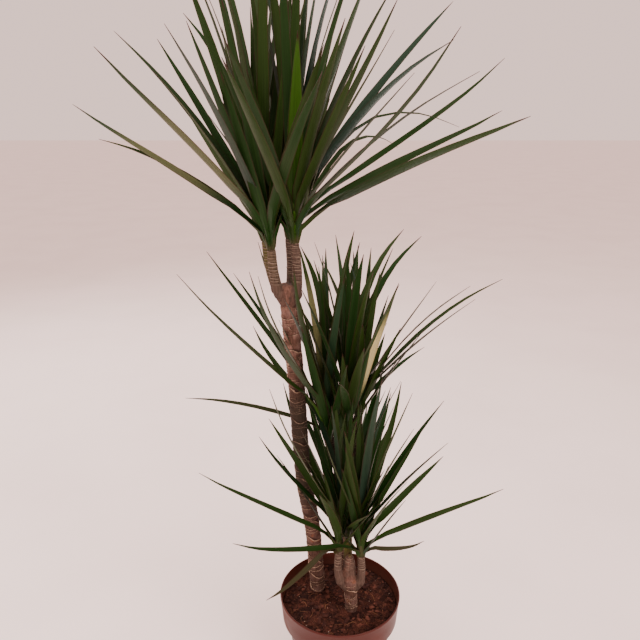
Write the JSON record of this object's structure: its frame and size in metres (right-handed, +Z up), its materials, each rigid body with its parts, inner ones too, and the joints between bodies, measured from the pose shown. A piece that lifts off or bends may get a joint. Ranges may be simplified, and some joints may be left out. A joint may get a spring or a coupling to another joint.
{
  "type": "potted dracaena marginata",
  "caption": "Dragon tree in a round nursery pot: bare ringed canes of stepped heights, each crowned by fans of long narrow pointed leaves.",
  "frame": {"origin": "middle of the pot's flat underside", "axes": "+Z up, -Y towards the front of the plant, +X to the right seen from the front"},
  "size_m": [0.7939, 0.8003, 1.3967],
  "materials": {
    "pot_plastic": "satin moulded terracotta-coloured plastic, slightly scuffed",
    "potting_soil": "damp loose coir and bark chips",
    "cane_bark": "dull corky bark with pale leaf-scar rings",
    "leaf": "leathery dark green with a soft sheen and thin red-brown edges"
  },
  "bodies": {
    "root": {"pot": "pot_plastic", "soil": "potting_soil", "cane_tall": "cane_bark", "cane_middle": "cane_bark", "cane_short": "cane_bark", "tall_head_left_front": "leaf", "tall_head_left_back": "leaf", "tall_head_right_front": "leaf", "tall_head_right_back": "leaf", "middle_head_left": "leaf", "middle_head_front": "leaf", "middle_head_right": "leaf", "short_head_left": "leaf", "short_head_right": "leaf", "short_head_back": "leaf"}
  },
  "joints": []
}
